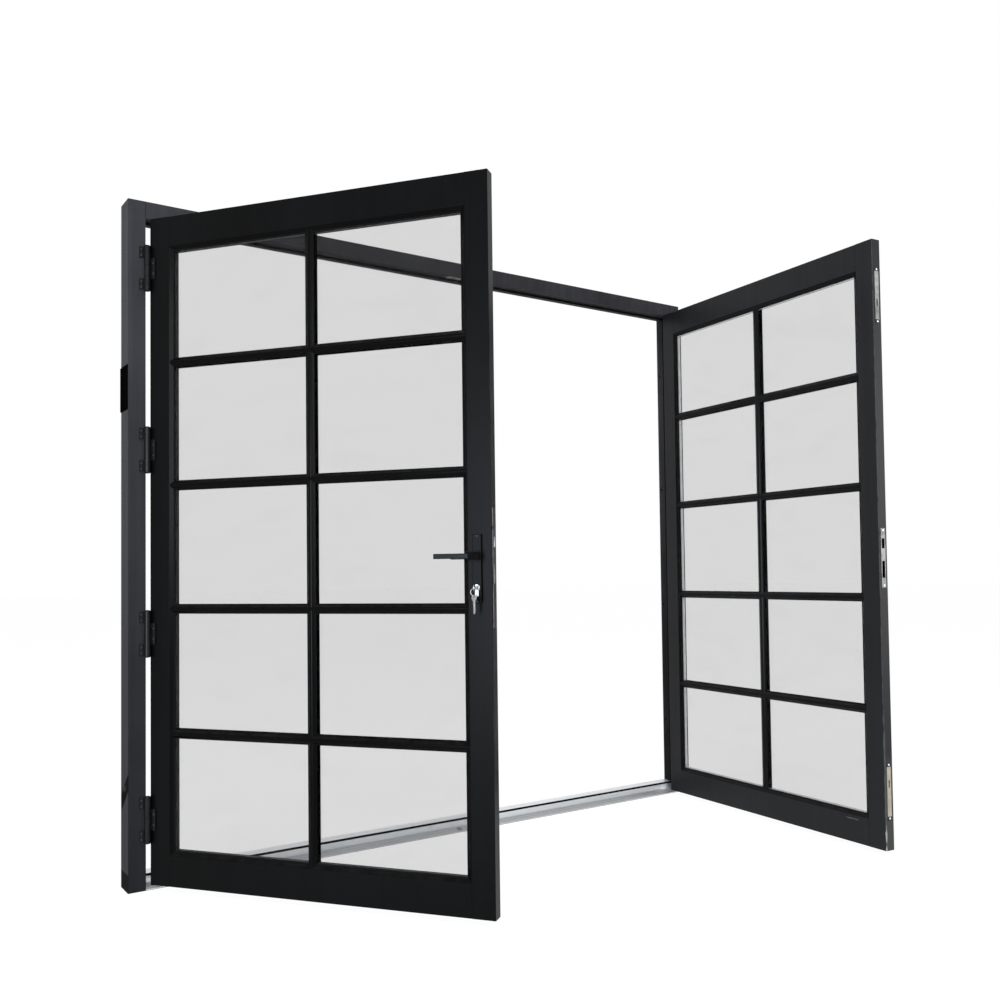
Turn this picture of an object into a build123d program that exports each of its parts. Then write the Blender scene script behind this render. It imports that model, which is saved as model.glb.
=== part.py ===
from build123d import *
import os

# Double aluminium door with its frame, seen from outside along +Y.
# Origin: middle of the frame's foot. +X to the right, +Y into the room, +Z up.
# Both leaves are drawn shut and then swung open about their hinge pins.

# Fixed frame: outer size and the hollow section of jambs and head
frame_width = 2320.0
frame_height = 2100.0
frame_depth = 84.0
frame_face = 52.0
frame_wall = 2.0
stop_height = 8.0
stop_width = 14.0
fixing_radius = 4.5
fixing_inset = 300.0
fixing_count = 4
cleat_length = 90.0
cleat_clearance = 0.25
packer_height = 136.0
packer_thickness = 3.0
packer_drop = 578.0

# Threshold: a ramp under the leaves, then an upstand with the bottom seal
nose_height = 3.0
ramp_height = 13.0
upstand_front = 40.0
upstand_back = 42.0
sill_wall = 2.0
seal_band = 7.0
seal_clearance = 0.3

# Leaves: hollow stiles and rails, and the gaps around them when shut
leaf_thickness = 38.0
leaf_wall = 2.0
stile_width = 68.0
rail_width = 92.0
end_cap = 3.0
edge_round = 1.0
side_gap = 5.0
meeting_gap = 6.0
head_gap = 3.0
sill_gap = 4.0
seal_gap = 4.0
shear_block = 60.0
left_open_angle = 53.0
right_open_angle = 85.0

# Glazing: two panes with a spacer, beads around them and bars on both faces
pane_thickness = 4.0
air_gap = 12.0
glass_clearance = 3.0
spacer_inset = 1.0
spacer_width = 11.0
bead_width = 14.0
bead_land = 1.0
bead_slope = 11.0
bead_foot = 1.5
bead_joint = 0.2
bar_width = 29.0
bar_crest = 11.0
bar_reach = 14.0
bar_lift = 3.0
bar_shift = 2.0
bar_height = 8.0
upright_drop = 0.8
pane_rows = 5
pane_columns = 2

# Hinges: three knuckles on a pin that stands in front of the faces
hinge_height = 135.0
hinge_rise = 196.0
hinge_drop = 155.0
hinge_count = 4
hinge_offset = 10.0
knuckle_radius = 9.5
knuckle_gap = 0.4
middle_knuckle_share = 0.47
pin_radius = 4.0
pin_clearance = 0.05
tab_thickness = 4.0
tab_reach = 22.0
tab_screw_reach = 16.0
tab_screw_share = 0.5

# Screws of the hinges and the edge plates
screw_head_radius = 3.6
screw_head_height = 1.2
screw_shank_radius = 2.0
screw_length = 9.0
screw_clearance = 0.05

# Lock, handle and key in the left leaf
spindle_height = 989.0
cylinder_drop = 85.0
backset = 40.0
latch_rise = 37.0
bolt_rise = 36.0
bolt_thickness = 11.0
latch_height = 27.0
latch_length = 40.0
latch_throw = 4.0
deadbolt_height = 50.0
deadbolt_length = 30.0
deadbolt_rest = 0.5
slide_clearance = 0.2
case_thickness = 15.0
case_clearance = 11.0
case_margin = 18.0
edge_plate_thickness = 1.5
faceplate_width = 22.0
faceplate_height = 325.0
faceplate_drop = 32.0
handle_plate_width = 26.0
handle_plate_thickness = 8.0
handle_plate_rise = 59.0
handle_plate_drop = 42.0
handle_plate_round = 2.0
handle_screw_inset = 5.0
lever_reach = 110.0
lever_height = 14.0
lever_depth = 12.0
lever_stand = 38.0
lever_round = 2.0
neck_radius = 9.0
neck_clearance = 0.05
neck_relief = 0.2
hub_width = 19.0
hub_height = 21.0
hub_relief = 0.5
spindle_width = 8.0
spindle_grip = 20.0
spindle_clearance = 0.1
cylinder_radius = 8.5
cylinder_tail = 10.0
cylinder_total = 33.0
cylinder_proud = 3.0
cylinder_clearance = 0.2
plug_radius = 6.5
plug_length = 30.0
plug_clearance = 0.05
key_thickness = 2.2
key_blade_height = 7.0
key_blade_length = 26.0
key_clearance = 0.1
key_bow_radius = 9.0
key_bow_reach = 17.5
key_hole_radius = 3.2
key_hole_reach = 4.5
ring_radius = 9.5
ring_wire_radius = 0.9
ring_clearance = 0.15
spare_blade_length = 34.0

# Strike and flush bolts in the right leaf
strike_width = 20.0
strike_height = 197.0
strike_drop = 11.0
strike_slot_margin = 3.0
bolt_plate_width = 18.0
bolt_plate_height = 189.0
top_plate_drop = 189.0
bottom_plate_rise = 192.0
bolt_slot_height = 24.0
bolt_slot_width = 6.0
bolt_slot_offset = 25.0
bolt_travel = 14.0
bolt_inset = 14.0
bolt_rod_width = 8.0
bolt_rod_rest = 1.0
bolt_rod_overlap = 6.0
slider_recess = 0.3
window_margin = 1.5
keep_width = 20.0
keep_length = 60.0
keep_thickness = 1.2
keep_hole_radius = 6.2
keep_bush_radius = 10.0
keep_bush_height = 10.5
edge_screw_inset = 7.0
cut_overrun = 5.0

# Places that follow from the sizes above
front_y = -frame_depth / 2
back_y = frame_depth / 2
leaf_back_y = front_y + leaf_thickness
leaf_middle_y = front_y + leaf_thickness / 2
stop_y = leaf_back_y + seal_gap
opening_half = frame_width / 2 - frame_face
leaf_width = opening_half - side_gap - meeting_gap / 2
head_low = frame_height - frame_face
leaf_top = head_low - head_gap
leaf_bottom = ramp_height + sill_gap
leaf_height = leaf_top - leaf_bottom
leaf_centre_z = (leaf_top + leaf_bottom) / 2
axis_x = opening_half - side_gap / 2
axis_y = front_y - hinge_offset
unit_thickness = air_gap + pane_thickness * 2
glass_recess = (leaf_thickness - unit_thickness) / 2
sight_width = leaf_width - (stile_width + bead_width) * 2
sight_height = leaf_height - (rail_width + bead_width) * 2
pocket_width = leaf_width - stile_width * 2
pocket_height = leaf_height - rail_width * 2
case_depth = stile_width - leaf_wall * 2 - case_clearance
cylinder_height = spindle_height - cylinder_drop
latch_z = spindle_height + latch_rise
deadbolt_z = cylinder_height + bolt_rise
faceplate_middle = spindle_height - faceplate_drop
strike_middle = spindle_height - strike_drop
top_plate_middle = leaf_top - top_plate_drop
bottom_plate_middle = leaf_bottom + bottom_plate_rise
packer_middle = frame_height - packer_drop
hinge_low = leaf_bottom + hinge_rise
hinge_pitch = (leaf_top - hinge_drop - hinge_low) / (hinge_count - 1)
hinge_heights = [hinge_low + hinge_pitch * step for step in range(hinge_count)]
fixing_pitch = (frame_height - fixing_inset * 2) / (fixing_count - 1)
fixing_heights = [fixing_inset + fixing_pitch * step for step in range(fixing_count)]
left, right = -1, 1


def block(xs, ys, zs, mode=Mode.ADD):
    # A box given by its two ends along each axis
    middle = ((xs[0] + xs[1]) / 2, (ys[0] + ys[1]) / 2, (zs[0] + zs[1]) / 2)
    with Locations(middle):
        Box(abs(xs[1] - xs[0]), abs(ys[1] - ys[0]), abs(zs[1] - zs[0]), mode=mode)


def about(middle, width):
    # The two ends of a width that is centred on a place
    return (middle - width / 2, middle + width / 2)


def bore(centre, axis, radius, length, mode=Mode.SUBTRACT):
    # A round hole or bar centred on a point, along an axis
    with Locations(Plane(origin=centre, z_dir=axis).location):
        Cylinder(radius, length, mode=mode)


def across(side, distance):
    # x of a place on a shut leaf, measured from its hinge edge to its free edge
    return side * (opening_half - side_gap - distance)


def swing(side):
    # The turn that opens a leaf about its hinge pins
    angle = -left_open_angle if side == left else right_open_angle
    return Pos(side * axis_x, axis_y, 0) * Rot(0, 0, angle) * Pos(-side * axis_x, -axis_y, 0)


def save(piece, label, place=Location()):
    placed = place * piece
    placed.label = label
    export_step(placed, f"parts/{label}.step")


os.makedirs("parts", exist_ok=True)


def frame_bar(plane, length):
    # Jamb and head section: a hollow box with the stop fin on the opening side
    with BuildPart() as bar:
        with BuildSketch(plane):
            with Locations((frame_face / 2, 0)):
                Rectangle(frame_face, frame_depth)
            with Locations((frame_face + stop_height / 2, stop_y + stop_width / 2)):
                Rectangle(stop_height, stop_width)
            with Locations((frame_face / 2, 0)):
                Rectangle(frame_face - frame_wall * 2, frame_depth - frame_wall * 2, mode=Mode.SUBTRACT)
        extrude(amount=length)
    return bar.part


fixing_y = (stop_y + stop_width + back_y) / 2
tab_screw_x = axis_x + tab_screw_reach
end_knuckle = hinge_height * (1 - middle_knuckle_share) / 2
middle_knuckle = hinge_height * middle_knuckle_share
tab_height = end_knuckle - knuckle_gap
tab_screw_spread = tab_height * tab_screw_share
tab_middles = [about(height, hinge_height - end_knuckle) for height in hinge_heights]
frame_screw_heights = [z for pair in tab_middles for m in pair for z in about(m, tab_screw_spread)]
leaf_screw_heights = [z for height in hinge_heights for z in about(height, middle_knuckle * tab_screw_share)]

# Jambs: they run to the top, with wall fixing holes, hinge screw holes and the fin cut off at both ends
with BuildPart() as left_jamb:
    add(frame_bar(Plane(origin=(-frame_width / 2, 0, 0), x_dir=(1, 0, 0), z_dir=(0, 0, 1)), frame_height))
    for ends in ((0, upstand_back), (head_low, frame_height)):
        block((-opening_half, -opening_half + stop_height + cut_overrun), (front_y, back_y), ends,
              mode=Mode.SUBTRACT)
    for height in fixing_heights:
        bore((-frame_width / 2 + frame_face / 2, fixing_y, height), (1, 0, 0), fixing_radius,
             frame_face + cut_overrun)
    for height in frame_screw_heights:
        bore((-tab_screw_x, front_y, height), (0, 1, 0), screw_shank_radius + screw_clearance,
             (frame_wall + cut_overrun / 2) * 2)
save(left_jamb.part, "left_jamb")

with BuildPart() as right_jamb:
    mirror(left_jamb.part, about=Plane.YZ)
save(right_jamb.part, "right_jamb")

# Head: the same section square between the jambs, with a window for the flush bolt of the right leaf
bolt_x = across(right, leaf_width - bolt_inset)
with BuildPart() as head_profile:
    add(frame_bar(Plane(origin=(-opening_half, 0, frame_height), x_dir=(0, 0, -1), z_dir=(1, 0, 0)),
                  opening_half * 2))
    for side in (left, right):
        block((side * (opening_half - stop_height), side * (opening_half + cut_overrun)),
              (front_y, back_y), (head_low - stop_height - cut_overrun, head_low), mode=Mode.SUBTRACT)
    bore((bolt_x, leaf_middle_y, head_low), (0, 0, 1), keep_hole_radius,
         (frame_wall + cut_overrun) * 2)
save(head_profile.part, "head_profile")


def corner_cleat(side):
    # A block in the head's chamber that carries the head on the jamb
    core = frame_face - (frame_wall + cleat_clearance) * 2
    depth = frame_depth - (frame_wall + cleat_clearance) * 2
    end_x = side * (opening_half - cleat_clearance)
    with BuildPart() as cleat:
        block((end_x, end_x - side * cleat_length), about(0, depth), about(head_low + frame_face / 2, core))
    return cleat.part.solid()


save(Compound([corner_cleat(left), corner_cleat(right)]), "frame_corner_cleats")

# Threshold: ramp, upstand and one hollow chamber, cut for the bush of the lower flush bolt
with BuildPart() as threshold:
    with BuildSketch(Plane.YZ):
        Polygon(
            (front_y, 0), (back_y, 0), (back_y, upstand_back), (stop_y, upstand_front),
            (stop_y, ramp_height), (front_y, nose_height), align=None,
        )
        offset(amount=-sill_wall, kind=Kind.INTERSECTION, mode=Mode.SUBTRACT)
    extrude(amount=opening_half, both=True)
    bore((bolt_x, leaf_middle_y, 0), (0, 0, 1), keep_bush_radius, (ramp_height + cut_overrun) * 2)
save(threshold.part, "threshold")

# Seals: three strips on the stop fins and one on the upstand
seal_front = leaf_back_y + seal_clearance
with BuildPart() as side_seal:
    block((-opening_half, -opening_half + stop_height), (seal_front, stop_y),
          (upstand_back, head_low - stop_height))
with BuildPart() as head_seal:
    block((-opening_half, opening_half), (seal_front, stop_y),
          (head_low - stop_height, head_low))
save(Compound([side_seal.part.solid(), mirror(side_seal.part, about=Plane.YZ).solid(),
               head_seal.part.solid()]), "frame_seal")

with BuildPart() as threshold_seal:
    block((-opening_half, opening_half), (seal_front, stop_y), (upstand_front - seal_band, upstand_front))
save(threshold_seal.part, "threshold_seal")

# Keeps for the flush bolts: a plate under the head and a bush in the threshold
with BuildPart() as head_bolt_keep:
    block(about(bolt_x, keep_length), about(leaf_middle_y, keep_width),
          (head_low - keep_thickness, head_low))
    bore((bolt_x, leaf_middle_y, head_low), (0, 0, 1), keep_hole_radius,
         (keep_thickness + cut_overrun) * 2)
save(head_bolt_keep.part, "head_bolt_keep")

with BuildPart() as threshold_bolt_keep:
    with BuildSketch(Plane(origin=(bolt_x, leaf_middle_y, 0))):
        Circle(keep_bush_radius - cylinder_clearance)
        Circle(keep_hole_radius, mode=Mode.SUBTRACT)
    extrude(amount=keep_bush_height)
save(threshold_bolt_keep.part, "threshold_bolt_keep")

# Packing pad on the outer side of the left jamb
with BuildPart() as jamb_packer:
    block((-frame_width / 2 - packer_thickness, -frame_width / 2), (front_y, back_y),
          about(packer_middle, packer_height))
save(jamb_packer.part, "jamb_packer")


def knuckle(side, middle, height, reach):
    # A hinge knuckle with the screw tab that lies on the face beside it
    with BuildPart() as half:
        bore((side * axis_x, axis_y, middle), (0, 0, 1), knuckle_radius, height, mode=Mode.ADD)
        block((side * axis_x, side * (axis_x + reach)), (front_y - tab_thickness, front_y),
              about(middle, height))
        bore((side * axis_x, axis_y, middle), (0, 0, 1), pin_radius + pin_clearance, height + cut_overrun)
        spread = tab_screw_spread if reach > 0 else middle_knuckle * tab_screw_share
        screw_x = side * (axis_x + (tab_screw_reach if reach > 0 else -tab_screw_reach))
        for z in about(middle, spread):
            bore((screw_x, front_y, z), (0, 1, 0), screw_shank_radius + screw_clearance,
                 (tab_thickness + cut_overrun) * 2)
    return half.part


def frame_hinges(side):
    return Compound([knuckle(side, m, tab_height, tab_reach).solid() for pair in tab_middles for m in pair])


def leaf_hinges(side):
    return Compound([knuckle(side, h, middle_knuckle, -tab_reach).solid() for h in hinge_heights])


def hinge_pin(side, height):
    with BuildPart() as pin:
        bore((side * axis_x, axis_y, height), (0, 0, 1), pin_radius, hinge_height, mode=Mode.ADD)
        chamfer(pin.edges().filter_by(GeomType.CIRCLE), edge_round)
    return pin.part.solid()


def screw(centre, direction):
    # A domed screw: its head stands on the given point and its shank goes along the direction
    with BuildPart() as fastener:
        with BuildSketch(Plane.XZ):
            with BuildLine():
                Polyline((0, -screw_length), (screw_shank_radius, -screw_length), (screw_shank_radius, 0),
                         (screw_head_radius, 0))
                Spline((screw_head_radius, 0), (0, screw_head_height), tangents=[(0, 1), (-1, 0)])
                Line((0, screw_head_height), (0, -screw_length))
            make_face()
        revolve(axis=Axis.Z)
    return (Plane(origin=centre, z_dir=direction).location * fastener.part).solid()


save(frame_hinges(left), "left_frame_hinges")
save(frame_hinges(right), "right_frame_hinges")
save(Compound([hinge_pin(side, h) for side in (left, right) for h in hinge_heights]), "hinge_pins")
tab_front = front_y - tab_thickness
save(Compound([screw((side * tab_screw_x, tab_front, z), (0, -1, 0))
               for side in (left, right) for z in frame_screw_heights]), "frame_hinge_screws")


def stile(side, near):
    # An upright of a leaf: a capped tube with softened long edges
    with BuildPart() as tube:
        xs = (across(side, near), across(side, near + stile_width))
        block(xs, (front_y, leaf_back_y), (leaf_bottom, leaf_top))
        fillet(tube.edges().filter_by(Axis.Z), edge_round)
        block(about(sum(xs) / 2, stile_width - leaf_wall * 2),
              about(leaf_middle_y, leaf_thickness - leaf_wall * 2),
              (leaf_bottom + end_cap, leaf_top - end_cap), mode=Mode.SUBTRACT)
    return tube.part


def rail(side, low):
    # A cross member between the stiles: a tube whose ends the stiles close
    with BuildPart() as tube:
        xs = (across(side, stile_width), across(side, leaf_width - stile_width))
        block(xs, (front_y, leaf_back_y), (low, low + rail_width))
        fillet(tube.edges().filter_by(Axis.X), edge_round)
        block(xs, about(leaf_middle_y, leaf_thickness - leaf_wall * 2),
              (low + leaf_wall, low + rail_width - leaf_wall), mode=Mode.SUBTRACT)
    return tube.part


rail_lows = (leaf_bottom, leaf_top - rail_width)


def shear_blocks(side):
    # Four blocks inside the rail ends, which carry the rails on the stiles
    blocks = []
    for low in rail_lows:
        for start in (stile_width, leaf_width - stile_width - shear_block):
            with BuildPart() as corner:
                block((across(side, start), across(side, start + shear_block)),
                      about(leaf_middle_y, leaf_thickness - (leaf_wall + cleat_clearance) * 2),
                      about(low + rail_width / 2, rail_width - (leaf_wall + cleat_clearance) * 2))
            blocks.append(corner.part.solid())
    return Compound(blocks)


def glass_panes(side):
    panes = []
    for start in (front_y + glass_recess, leaf_back_y - glass_recess - pane_thickness):
        with BuildPart() as pane:
            block(about(across(side, leaf_width / 2), pocket_width - glass_clearance * 2),
                  (start, start + pane_thickness), about(leaf_centre_z, pocket_height - glass_clearance * 2))
        panes.append(pane.part.solid())
    return Compound(panes)


def glass_spacer(side):
    # The bar around the air gap, which keeps the two panes apart
    inset = (glass_clearance + spacer_inset) * 2
    with BuildPart() as spacer:
        with BuildSketch(Plane(origin=(across(side, leaf_width / 2), leaf_middle_y, leaf_centre_z),
                               x_dir=(1, 0, 0), z_dir=(0, -1, 0))):
            Rectangle(pocket_width - inset, pocket_height - inset)
            offset(amount=-spacer_width, kind=Kind.INTERSECTION, mode=Mode.SUBTRACT)
        extrude(amount=air_gap / 2, both=True)
    return spacer.part


def bead_strip(length):
    # One mitred bead: a narrow land at the face, a slope, then a low foot along the glass
    with BuildPart() as strip:
        with BuildSketch(Plane.YZ):
            Polygon((0, 0), (0, bead_land), (glass_recess - bead_foot, bead_slope),
                    (glass_recess - bead_foot, bead_width), (glass_recess, bead_width), (glass_recess, 0),
                    align=None)
        extrude(amount=length / 2, both=True)
        split(bisect_by=Plane(origin=(length / 2 - bead_joint, 0, 0), z_dir=(1, 0, 1)), keep=Keep.BOTTOM)
        split(bisect_by=Plane(origin=(bead_joint - length / 2, 0, 0), z_dir=(-1, 0, 1)), keep=Keep.BOTTOM)
    return strip.part


leaf_middle = Plane(origin=(0, leaf_middle_y, 0), z_dir=(0, 1, 0))


def glazing_beads(side):
    centre = across(side, leaf_width / 2)
    flat_bead = bead_strip(pocket_width)
    tall_bead = bead_strip(pocket_height)
    outer = [
        Pos(centre, front_y, leaf_centre_z - pocket_height / 2) * flat_bead,
        Pos(centre, front_y, leaf_centre_z + pocket_height / 2) * Rot(0, 180, 0) * flat_bead,
        Pos(centre - pocket_width / 2, front_y, leaf_centre_z) * Rot(0, 90, 0) * tall_bead,
        Pos(centre + pocket_width / 2, front_y, leaf_centre_z) * Rot(0, -90, 0) * tall_bead,
    ]
    inner = [mirror(bead, about=leaf_middle) for bead in outer]
    return Compound([bead.solid() for bead in outer + inner])


def glazing_bars(side):
    # A grid of bevelled bars on the outer pane, spread a little past the beads; the uprights stand lower
    centre = across(side, leaf_width / 2)
    base = front_y + glass_recess
    spread_height = sight_height + bar_reach * 2
    spread_width = sight_width + bar_reach * 2
    pane_height = (spread_height - bar_width * (pane_rows - 1)) / pane_rows
    pane_width = (spread_width - bar_width * (pane_columns - 1)) / pane_columns
    half_base = bar_width / 2
    half_crest = bar_crest / 2
    with BuildPart() as grid:
        for row in range(1, pane_rows):
            z = leaf_centre_z - spread_height / 2 + (pane_height + bar_width) * row - half_base + bar_lift
            with BuildSketch(Plane(origin=(centre, base, z), x_dir=(0, 1, 0), z_dir=(1, 0, 0))):
                Polygon((0, -half_base), (0, half_base), (-bar_height, half_crest),
                        (-bar_height, -half_crest), align=None)
            extrude(amount=sight_width / 2, both=True)
        for column in range(1, pane_columns):
            x = centre - spread_width / 2 + (pane_width + bar_width) * column - half_base + side * bar_shift
            top = -bar_height + upright_drop
            with BuildSketch(Plane(origin=(x, base, leaf_centre_z))):
                Polygon((-half_base, 0), (half_base, 0), (half_crest, top), (-half_crest, top), align=None)
            extrude(amount=sight_height / 2, both=True)
    return grid.part


def leaf_screws(side):
    return Compound([screw((side * (axis_x - tab_screw_reach), tab_front, z), (0, -1, 0))
                     for z in leaf_screw_heights])


def hinge_stile(side):
    with BuildPart() as upright:
        add(stile(side, 0))
        for z in leaf_screw_heights:
            bore((side * (axis_x - tab_screw_reach), front_y, z), (0, 1, 0),
                 screw_shank_radius + screw_clearance, (leaf_wall + cut_overrun / 2) * 2)
    return upright.part


# The pieces that both leaves share
for side, name in ((left, "left"), (right, "right")):
    opened = swing(side)
    save(hinge_stile(side), f"{name}_hinge_stile", opened)
    save(rail(side, rail_lows[0]), f"{name}_bottom_rail", opened)
    save(rail(side, rail_lows[1]), f"{name}_top_rail", opened)
    save(shear_blocks(side), f"{name}_corner_blocks", opened)
    save(glass_panes(side), f"{name}_glass_panes", opened)
    save(glass_spacer(side), f"{name}_glass_spacer", opened)
    save(glazing_beads(side), f"{name}_glazing_beads", opened)
    save(glazing_bars(side), f"{name}_outer_bars", opened)
    save(mirror(glazing_bars(side), about=leaf_middle), f"{name}_inner_bars", opened)
    save(leaf_hinges(side), f"{name}_leaf_hinges", opened)
    save(leaf_screws(side), f"{name}_hinge_screws", opened)

# Lock stile of the left leaf: a window for the lock case and holes for spindle, cylinder and screws
left_swing = swing(left)
left_edge = across(left, leaf_width)
lock_x = across(left, leaf_width - backset)
case_zs = (cylinder_height - cylinder_total, latch_z + latch_height / 2 + case_margin)
handle_screw_heights = (spindle_height + handle_plate_rise - handle_screw_inset,
                        cylinder_height - handle_plate_drop + handle_screw_inset)
faceplate_screw_heights = about(faceplate_middle, faceplate_height - edge_screw_inset * 2)
through_length = leaf_thickness + (handle_plate_thickness + lever_stand) * 2


def profile_cylinder(length, grow, mode):
    # A profile cylinder across the leaf: a round body with a narrow rounded tail below it
    tail_z = cylinder_height - cylinder_total + cylinder_radius + cylinder_tail / 2
    bore((lock_x, leaf_middle_y, cylinder_height), (0, 1, 0), cylinder_radius + grow, length, mode)
    block(about(lock_x, cylinder_tail + grow * 2), about(leaf_middle_y, length), (tail_z, cylinder_height),
          mode)
    bore((lock_x, leaf_middle_y, tail_z), (0, 1, 0), cylinder_tail / 2 + grow, length, mode)


def lock_holes():
    # Spindle, cylinder and handle screw holes, right through the leaf
    bore((lock_x, leaf_middle_y, spindle_height), (0, 1, 0), spindle_width, through_length)
    for z in handle_screw_heights:
        bore((lock_x, leaf_middle_y, z), (0, 1, 0), screw_shank_radius + screw_clearance, through_length)
    profile_cylinder(through_length, cylinder_clearance, Mode.SUBTRACT)


with BuildPart() as left_lock_stile:
    add(stile(left, leaf_width - stile_width))
    lock_holes()
    block((left_edge - leaf_wall - cut_overrun / 2, left_edge + cut_overrun),
          about(leaf_middle_y, case_thickness + slide_clearance * 2),
          (case_zs[0] - slide_clearance, case_zs[1] + slide_clearance), mode=Mode.SUBTRACT)
    for z in faceplate_screw_heights:
        bore((left_edge, leaf_middle_y, z), (1, 0, 0), screw_shank_radius + screw_clearance,
             (leaf_wall + cut_overrun / 2) * 2)
save(left_lock_stile.part, "left_lock_stile", left_swing)

# Lock case with channels for the latch and the dead bolt
slot_thickness = bolt_thickness + slide_clearance * 2
latch_tail = latch_length - latch_throw - edge_plate_thickness
with BuildPart() as lock_case:
    block((left_edge - case_depth, left_edge), about(leaf_middle_y, case_thickness), case_zs)
    lock_holes()
    block((left_edge - latch_tail - latch_throw - slide_clearance, left_edge),
          about(leaf_middle_y, slot_thickness),
          about(latch_z, latch_height + slide_clearance * 2), mode=Mode.SUBTRACT)
    block((left_edge - deadbolt_length - slide_clearance, left_edge), about(leaf_middle_y, slot_thickness),
          about(deadbolt_z, deadbolt_height + slide_clearance * 2), mode=Mode.SUBTRACT)
save(lock_case.part, "lock_case", left_swing)

with BuildPart() as lock_faceplate:
    block((left_edge, left_edge + edge_plate_thickness), about(leaf_middle_y, faceplate_width),
          about(faceplate_middle, faceplate_height))
    for middle, height in ((latch_z, latch_height), (deadbolt_z, deadbolt_height)):
        block((left_edge, left_edge + edge_plate_thickness), about(leaf_middle_y, slot_thickness),
              about(middle, height + slide_clearance * 2), mode=Mode.SUBTRACT)
    for z in faceplate_screw_heights:
        bore((left_edge, leaf_middle_y, z), (1, 0, 0), screw_shank_radius + screw_clearance,
             (edge_plate_thickness + cut_overrun) * 2)
save(lock_faceplate.part, "lock_faceplate", left_swing)

# Latch with its slanted nose on the room side, and the square dead bolt
latch_tip = left_edge + edge_plate_thickness + latch_throw
with BuildPart() as latch_bolt:
    with BuildSketch(Plane.XY.offset(latch_z)):
        Polygon(
            (left_edge - latch_tail, leaf_middle_y - bolt_thickness / 2),
            (latch_tip, leaf_middle_y - bolt_thickness / 2),
            (latch_tip - latch_throw, leaf_middle_y + bolt_thickness / 2),
            (left_edge - latch_tail, leaf_middle_y + bolt_thickness / 2), align=None,
        )
    extrude(amount=latch_height / 2, both=True)
save(latch_bolt.part, "latch_bolt", left_swing)

deadbolt_tip = left_edge + edge_plate_thickness - deadbolt_rest
with BuildPart() as dead_bolt:
    block((deadbolt_tip - deadbolt_length, deadbolt_tip), about(leaf_middle_y, bolt_thickness),
          about(deadbolt_z, deadbolt_height))
save(dead_bolt.part, "dead_bolt", left_swing)

# Handle plates: one long plate outside and its mirror image inside
plate_zs = (cylinder_height - handle_plate_drop, spindle_height + handle_plate_rise)
plate_front = front_y - handle_plate_thickness
with BuildPart() as outside_handle_plate:
    block(about(lock_x, handle_plate_width), (plate_front, front_y), plate_zs)
    fillet(outside_handle_plate.faces().sort_by(Axis.Y)[0].edges(), handle_plate_round)
    lock_holes()
    bore((lock_x, front_y, spindle_height), (0, 1, 0), neck_radius + neck_clearance, through_length)
save(outside_handle_plate.part, "outside_handle_plate", left_swing)
save(mirror(outside_handle_plate.part, about=leaf_middle), "inside_handle_plate", left_swing)

# Levers on their square spindle
lever_front = front_y - lever_stand - lever_depth
with BuildPart() as outside_lever:
    block((lock_x - lever_reach, lock_x + neck_radius), (lever_front, front_y - lever_stand),
          about(spindle_height, lever_height))
    fillet(outside_lever.edges(), lever_round)
    block(about(lock_x, hub_width), (lever_front + lever_round, plate_front - hub_relief),
          about(spindle_height, hub_height))
    bore((lock_x, (lever_front + lever_round + front_y - neck_relief) / 2, spindle_height), (0, 1, 0),
         neck_radius, front_y - neck_relief - lever_front - lever_round, mode=Mode.ADD)
    block(about(lock_x, spindle_width + spindle_clearance * 2),
          (front_y - spindle_grip - spindle_clearance, front_y),
          about(spindle_height, spindle_width + spindle_clearance * 2), mode=Mode.SUBTRACT)
save(outside_lever.part, "outside_lever", left_swing)
save(mirror(outside_lever.part, about=leaf_middle), "inside_lever", left_swing)

with BuildPart() as spindle:
    block(about(lock_x, spindle_width), about(leaf_middle_y, leaf_thickness + spindle_grip * 2),
          about(spindle_height, spindle_width))
save(spindle.part, "spindle", left_swing)

# Profile cylinder, its plug, and the key left in it
cylinder_half = leaf_thickness / 2 + handle_plate_thickness + cylinder_proud
cylinder_face = leaf_middle_y - cylinder_half
with BuildPart() as lock_cylinder:
    profile_cylinder(cylinder_half * 2, 0, Mode.ADD)
    bore((lock_x, cylinder_face, cylinder_height), (0, 1, 0), plug_radius + plug_clearance, plug_length * 2)
save(lock_cylinder.part, "lock_cylinder", left_swing)

with BuildPart() as cylinder_plug:
    bore((lock_x, cylinder_face + plug_length / 2, cylinder_height), (0, 1, 0), plug_radius,
         plug_length - plug_clearance * 2, mode=Mode.ADD)
    block(about(lock_x, key_thickness + key_clearance * 2), (cylinder_face, cylinder_face + key_blade_length),
          about(cylinder_height, key_blade_height + key_clearance * 2), mode=Mode.SUBTRACT)
save(cylinder_plug.part, "cylinder_plug", left_swing)

bow_y = cylinder_face - key_bow_reach
hole_y = bow_y - key_hole_reach
with BuildPart() as door_key:
    block(about(lock_x, key_thickness), (bow_y, cylinder_face + key_blade_length - key_clearance),
          about(cylinder_height, key_blade_height))
    bore((lock_x, bow_y, cylinder_height), (1, 0, 0), key_bow_radius, key_thickness, mode=Mode.ADD)
    bore((lock_x, hole_y, cylinder_height), (1, 0, 0), key_hole_radius, key_thickness + cut_overrun)
save(door_key.part, "door_key", left_swing)

ring_top = cylinder_height - key_hole_radius + ring_wire_radius + ring_clearance
with BuildPart() as key_ring:
    with Locations(Plane(origin=(lock_x, hole_y, ring_top - ring_radius), z_dir=(0, 1, 0)).location):
        Torus(ring_radius, ring_wire_radius)
save(key_ring.part, "key_ring", left_swing)

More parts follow.
